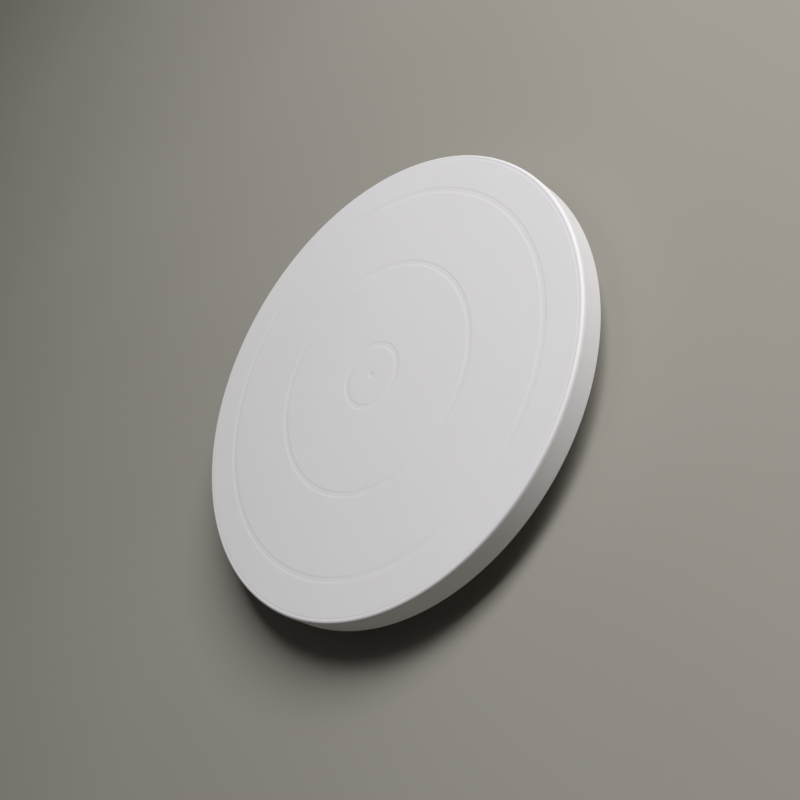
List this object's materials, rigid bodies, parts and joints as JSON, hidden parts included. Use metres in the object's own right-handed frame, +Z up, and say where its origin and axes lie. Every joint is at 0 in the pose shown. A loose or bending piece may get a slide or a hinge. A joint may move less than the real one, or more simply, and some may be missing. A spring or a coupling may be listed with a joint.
{
  "type": "sculpting turntable",
  "caption": "Low round sculpting turntable: a white moulded disc with guide grooves and a turned-down rim spins on a ball bearing over a smaller rubber-footed base.",
  "frame": {"origin": "on the table, under the middle of the rubber feet, on the spin axis", "axes": "+Z up along the spin axis; +X and +Y are interchangeable, with a ball on +X and a foot on +Y"},
  "size_m": [0.3, 0.3, 0.034],
  "materials": {
    "top_plastic": "white injection-moulded plastic, fine even texture, satin",
    "base_plastic": "white injection-moulded plastic, satin",
    "bearing_steel": "ground and polished bearing steel with a film of grease",
    "zinc_steel": "bright zinc plating",
    "nylon": "natural nylon",
    "acetal": "black acetal, smooth",
    "rubber": "dark grey moulded rubber"
  },
  "bodies": {
    "base": {"base_shell": "base_plastic", "lower_race": "bearing_steel", "pivot_bush": "acetal", "hub_cap": "base_plastic", "foot_1": "rubber", "foot_2": "rubber", "foot_3": "rubber", "foot_4": "rubber", "foot_5": "rubber", "foot_6": "rubber"},
    "platter": {"turntable_top": "top_plastic", "upper_race": "bearing_steel", "pivot_sleeve": "zinc_steel", "pivot_washer": "zinc_steel", "pivot_screw": "zinc_steel"},
    "cage": {"ball_cage": "nylon"},
    "ball_01": {"ball_01": "bearing_steel"},
    "ball_02": {"ball_02": "bearing_steel"},
    "ball_03": {"ball_03": "bearing_steel"},
    "ball_04": {"ball_04": "bearing_steel"},
    "ball_05": {"ball_05": "bearing_steel"},
    "ball_06": {"ball_06": "bearing_steel"},
    "ball_07": {"ball_07": "bearing_steel"},
    "ball_08": {"ball_08": "bearing_steel"},
    "ball_09": {"ball_09": "bearing_steel"},
    "ball_10": {"ball_10": "bearing_steel"},
    "ball_11": {"ball_11": "bearing_steel"},
    "ball_12": {"ball_12": "bearing_steel"},
    "ball_13": {"ball_13": "bearing_steel"},
    "ball_14": {"ball_14": "bearing_steel"},
    "ball_15": {"ball_15": "bearing_steel"},
    "ball_16": {"ball_16": "bearing_steel"},
    "ball_17": {"ball_17": "bearing_steel"},
    "ball_18": {"ball_18": "bearing_steel"},
    "ball_19": {"ball_19": "bearing_steel"},
    "ball_20": {"ball_20": "bearing_steel"}
  },
  "joints": [
    {"name": "platter_spin", "type": "hinge", "parent": "base", "child": "platter", "pos_m": [0, 0, 0.01995], "axis": [0, 0, 1], "continuous": true},
    {"name": "cage_spin", "type": "hinge", "parent": "base", "child": "cage", "pos_m": [0, 0, 0.01995], "axis": [0, 0, 1], "continuous": true},
    {"name": "ball_01_roll", "type": "hinge", "parent": "cage", "child": "ball_01", "pos_m": [0.078, 0, 0.01995], "axis": [1, 0, 0], "continuous": true},
    {"name": "ball_02_roll", "type": "hinge", "parent": "cage", "child": "ball_02", "pos_m": [0.07418, 0.0241, 0.01995], "axis": [0.9511, 0.309, 0], "continuous": true},
    {"name": "ball_03_roll", "type": "hinge", "parent": "cage", "child": "ball_03", "pos_m": [0.0631, 0.04585, 0.01995], "axis": [0.809, 0.5878, 0], "continuous": true},
    {"name": "ball_04_roll", "type": "hinge", "parent": "cage", "child": "ball_04", "pos_m": [0.04585, 0.0631, 0.01995], "axis": [0.5878, 0.809, 0], "continuous": true},
    {"name": "ball_05_roll", "type": "hinge", "parent": "cage", "child": "ball_05", "pos_m": [0.0241, 0.07418, 0.01995], "axis": [0.309, 0.9511, 0], "continuous": true},
    {"name": "ball_06_roll", "type": "hinge", "parent": "cage", "child": "ball_06", "pos_m": [0, 0.078, 0.01995], "axis": [0, 1, 0], "continuous": true},
    {"name": "ball_07_roll", "type": "hinge", "parent": "cage", "child": "ball_07", "pos_m": [-0.0241, 0.07418, 0.01995], "axis": [-0.309, 0.9511, 0], "continuous": true},
    {"name": "ball_08_roll", "type": "hinge", "parent": "cage", "child": "ball_08", "pos_m": [-0.04585, 0.0631, 0.01995], "axis": [-0.5878, 0.809, 0], "continuous": true},
    {"name": "ball_09_roll", "type": "hinge", "parent": "cage", "child": "ball_09", "pos_m": [-0.0631, 0.04585, 0.01995], "axis": [-0.809, 0.5878, 0], "continuous": true},
    {"name": "ball_10_roll", "type": "hinge", "parent": "cage", "child": "ball_10", "pos_m": [-0.07418, 0.0241, 0.01995], "axis": [-0.9511, 0.309, 0], "continuous": true},
    {"name": "ball_11_roll", "type": "hinge", "parent": "cage", "child": "ball_11", "pos_m": [-0.078, 0, 0.01995], "axis": [-1, 0, 0], "continuous": true},
    {"name": "ball_12_roll", "type": "hinge", "parent": "cage", "child": "ball_12", "pos_m": [-0.07418, -0.0241, 0.01995], "axis": [-0.9511, -0.309, 0], "continuous": true},
    {"name": "ball_13_roll", "type": "hinge", "parent": "cage", "child": "ball_13", "pos_m": [-0.0631, -0.04585, 0.01995], "axis": [-0.809, -0.5878, 0], "continuous": true},
    {"name": "ball_14_roll", "type": "hinge", "parent": "cage", "child": "ball_14", "pos_m": [-0.04585, -0.0631, 0.01995], "axis": [-0.5878, -0.809, 0], "continuous": true},
    {"name": "ball_15_roll", "type": "hinge", "parent": "cage", "child": "ball_15", "pos_m": [-0.0241, -0.07418, 0.01995], "axis": [-0.309, -0.9511, 0], "continuous": true},
    {"name": "ball_16_roll", "type": "hinge", "parent": "cage", "child": "ball_16", "pos_m": [0, -0.078, 0.01995], "axis": [0, -1, 0], "continuous": true},
    {"name": "ball_17_roll", "type": "hinge", "parent": "cage", "child": "ball_17", "pos_m": [0.0241, -0.07418, 0.01995], "axis": [0.309, -0.9511, 0], "continuous": true},
    {"name": "ball_18_roll", "type": "hinge", "parent": "cage", "child": "ball_18", "pos_m": [0.04585, -0.0631, 0.01995], "axis": [0.5878, -0.809, 0], "continuous": true},
    {"name": "ball_19_roll", "type": "hinge", "parent": "cage", "child": "ball_19", "pos_m": [0.0631, -0.04585, 0.01995], "axis": [0.809, -0.5878, 0], "continuous": true},
    {"name": "ball_20_roll", "type": "hinge", "parent": "cage", "child": "ball_20", "pos_m": [0.07418, -0.0241, 0.01995], "axis": [0.9511, -0.309, 0], "continuous": true}
  ],
  "couplings": [
    {"joint": "cage_spin", "follows": "platter_spin", "ratio": 0.5},
    {"joint": "ball_01_roll", "follows": "platter_spin", "ratio": -13},
    {"joint": "ball_02_roll", "follows": "platter_spin", "ratio": -13},
    {"joint": "ball_03_roll", "follows": "platter_spin", "ratio": -13},
    {"joint": "ball_04_roll", "follows": "platter_spin", "ratio": -13},
    {"joint": "ball_05_roll", "follows": "platter_spin", "ratio": -13},
    {"joint": "ball_06_roll", "follows": "platter_spin", "ratio": -13},
    {"joint": "ball_07_roll", "follows": "platter_spin", "ratio": -13},
    {"joint": "ball_08_roll", "follows": "platter_spin", "ratio": -13},
    {"joint": "ball_09_roll", "follows": "platter_spin", "ratio": -13},
    {"joint": "ball_10_roll", "follows": "platter_spin", "ratio": -13},
    {"joint": "ball_11_roll", "follows": "platter_spin", "ratio": -13},
    {"joint": "ball_12_roll", "follows": "platter_spin", "ratio": -13},
    {"joint": "ball_13_roll", "follows": "platter_spin", "ratio": -13},
    {"joint": "ball_14_roll", "follows": "platter_spin", "ratio": -13},
    {"joint": "ball_15_roll", "follows": "platter_spin", "ratio": -13},
    {"joint": "ball_16_roll", "follows": "platter_spin", "ratio": -13},
    {"joint": "ball_17_roll", "follows": "platter_spin", "ratio": -13},
    {"joint": "ball_18_roll", "follows": "platter_spin", "ratio": -13},
    {"joint": "ball_19_roll", "follows": "platter_spin", "ratio": -13},
    {"joint": "ball_20_roll", "follows": "platter_spin", "ratio": -13}
  ]
}
